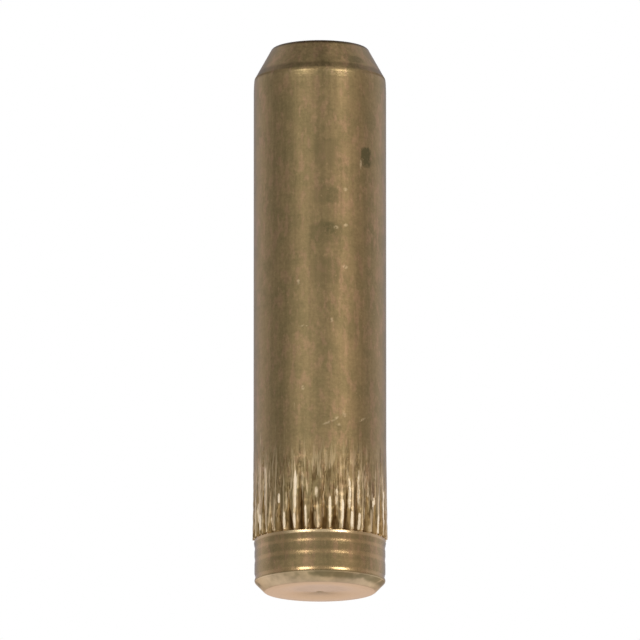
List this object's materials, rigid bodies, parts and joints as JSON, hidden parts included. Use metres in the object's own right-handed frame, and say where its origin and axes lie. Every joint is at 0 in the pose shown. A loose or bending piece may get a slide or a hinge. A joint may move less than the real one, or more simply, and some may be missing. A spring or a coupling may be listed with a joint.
{
  "type": "gate hinge pin",
  "caption": "Solid brass hinge pin with a tapered lead, a straight running shank and a knurled foot that grips in the lower knuckle of a gate hinge.",
  "frame": {"origin": "centre of the flat foot face at the knurled end, in the plane that the pin stands on", "axes": "+Z along the pin from the knurled foot to the tapered top; +X and +Y are across the pin, which is round"},
  "size_m": [0.0184, 0.0184, 0.075],
  "materials": {
    "brass": "dull drawn and turned brass, satin, with handling marks"
  },
  "bodies": {
    "root": {"hinge_pin": "brass"}
  },
  "joints": []
}
